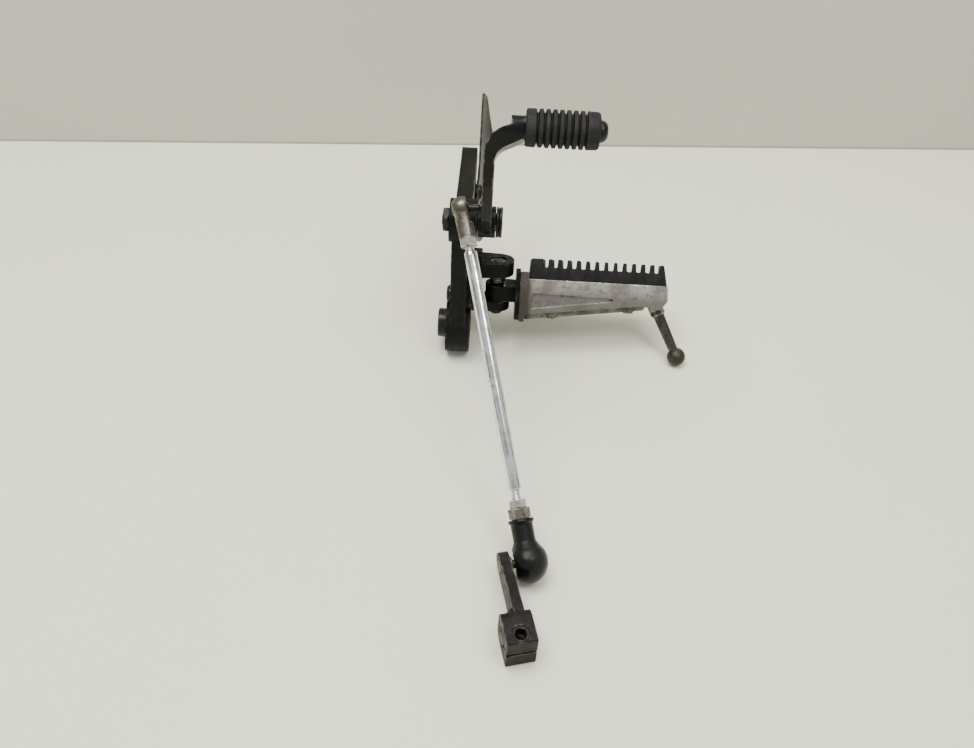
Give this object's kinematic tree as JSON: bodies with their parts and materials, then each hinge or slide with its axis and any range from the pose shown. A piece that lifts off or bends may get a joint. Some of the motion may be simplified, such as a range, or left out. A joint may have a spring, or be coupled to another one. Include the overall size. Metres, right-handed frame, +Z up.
{
  "type": "motorcycle foot peg assembly",
  "caption": "Left rearset bracket with a folding foot peg, heel guard, bank sensor, and a shift lever driving a ball-jointed link rod to a split clamp arm.",
  "frame": {"origin": "centre of the lower mounting bore, at the collar's inner face, which seats against the motorcycle's frame", "axes": "+X along the mounting bores, away from the motorcycle; +Z up with the set standing on a bench; +Y rearward on the bench"},
  "size_m": [0.1821, 0.3979, 0.2202],
  "materials": {
    "black_casting": "satin black paint over a fine cast grain, worn at the edges",
    "arm_casting": "charcoal coat with bare bright edges",
    "guard_sheet": "satin dark sheet",
    "bare_casting": "tarnished bare casting",
    "black_steel": "black plated steel",
    "dark_steel": "dark worn steel",
    "worn_steel": "dull tarnished zinc",
    "bright_zinc": "bright zinc plate",
    "bronze": "sintered bronze",
    "seat_plastic": "moulded acetal",
    "peg_rubber": "dense moulded tread rubber",
    "toe_rubber": "matte moulded rubber",
    "soft_rubber": "smooth soft rubber"
  },
  "bodies": {
    "root": {"bracket": "black_casting", "lower_mount_collar": "black_steel", "lower_mount_grommet": "soft_rubber", "upper_mount_bush": "worn_steel", "rear_arm_bush": "worn_steel", "heel_guard": "guard_sheet", "heel_guard_screws": "black_steel", "lever_pivot_pin": "black_steel", "lever_pivot_washer": "black_steel", "lever_pivot_nut": "black_steel", "peg_holder": "black_casting", "holder_bolts": "black_steel", "peg_pin": "black_steel", "peg_pin_clip": "worn_steel", "peg_spring": "worn_steel"},
    "lever": {"shift_lever": "black_casting", "lever_bush": "bronze", "lever_seals": "soft_rubber", "toe_rubber": "toe_rubber", "toe_pin": "black_steel", "upper_ball_stud": "worn_steel"},
    "rod": {"upper_rod_end": "worn_steel", "upper_ball_seat": "seat_plastic", "upper_jam_nut": "bright_zinc", "link_rod": "bright_zinc", "lower_jam_nut": "bright_zinc", "lower_rod_end": "worn_steel", "lower_ball_seat": "seat_plastic", "lower_boot": "soft_rubber"},
    "arm": {"shift_arm": "arm_casting", "lower_ball_stud": "worn_steel"},
    "peg": {"peg_knuckle": "black_casting", "peg_body": "bare_casting", "peg_rubber": "peg_rubber", "tread_plate": "worn_steel", "tread_screws": "worn_steel", "bank_sensor": "dark_steel"}
  },
  "joints": [
    {"name": "peg_fold", "type": "hinge", "parent": "root", "child": "peg", "pos_m": [0.0412, 0.01935, 0.01901], "axis": [0, 0.309, 0.9511], "range_deg": [0, 60], "stiffness_Nm_per_rad": 0.15, "springref_deg": -57.3},
    {"name": "lever_pivot", "type": "hinge", "parent": "root", "child": "lever", "pos_m": [0.0319, 0.00333, 0.09015], "axis": [1, 0, 0], "range_deg": [-15, 15]},
    {"name": "rod_swing", "type": "hinge", "parent": "lever", "child": "rod", "pos_m": [0.0162, -0.02448, 0.1208], "axis": [1, 0, 0], "range_deg": [-30, 30]},
    {"name": "arm_swing", "type": "hinge", "parent": "rod", "child": "arm", "pos_m": [0.0683, -0.19536, -0.0076], "axis": [0.9703, 0.2419, 0], "range_deg": [-35, 75]}
  ]
}
